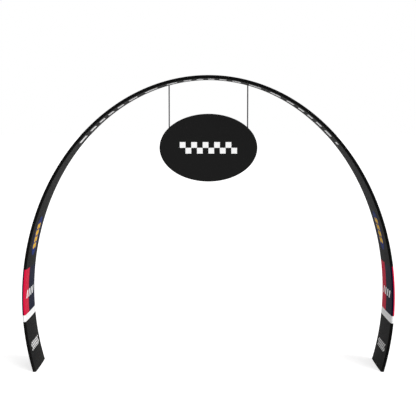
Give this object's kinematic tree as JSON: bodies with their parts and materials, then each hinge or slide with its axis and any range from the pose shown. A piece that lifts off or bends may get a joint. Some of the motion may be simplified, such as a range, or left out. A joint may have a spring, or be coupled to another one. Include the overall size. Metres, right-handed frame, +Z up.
{
  "type": "fabric archway banner on a tube frame with a hanging sign board",
  "caption": "Free-standing arch of stretch cloth pulled over bent tube hoops, open underneath as a walk-through entrance, with an oval sign board hung on cords from its top.",
  "frame": {"origin": "on the floor, midway between the two feet and midway between the front and back hoops", "axes": "+X to the viewer's right across the arch, +Y through the passage to the back, +Z up"},
  "size_m": [4, 0.559, 3.176],
  "materials": {
    "cover_cloth": "black stretch polyester knit with a printed foot, band and panel",
    "frame_tube": "satin drawn tube",
    "foot_bar": "mill finish flat bar",
    "hanging_cord": "grey braided cord",
    "sign_face": "black satin print on a hard board"
  },
  "bodies": {
    "arch": {"cover_inner_panel": "cover_cloth", "cover_outer_panel": "cover_cloth", "hoop_front": "frame_tube", "hoop_back": "frame_tube", "spacer_left_low": "frame_tube", "spacer_left_high": "frame_tube", "spacer_right_low": "frame_tube", "spacer_right_high": "frame_tube", "hanger_bar_left": "frame_tube", "hanger_bar_right": "frame_tube", "foot_bar_left": "foot_bar", "foot_bar_right": "foot_bar"},
    "sign": {"sign_board": "sign_face", "cord_left": "hanging_cord", "cord_right": "hanging_cord"}
  },
  "joints": [
    {"name": "sign_swing", "type": "hinge", "parent": "arch", "child": "sign", "pos_m": [0, 0, 3.08309], "axis": [1, 0, 0], "range_deg": [-40, 40]}
  ]
}
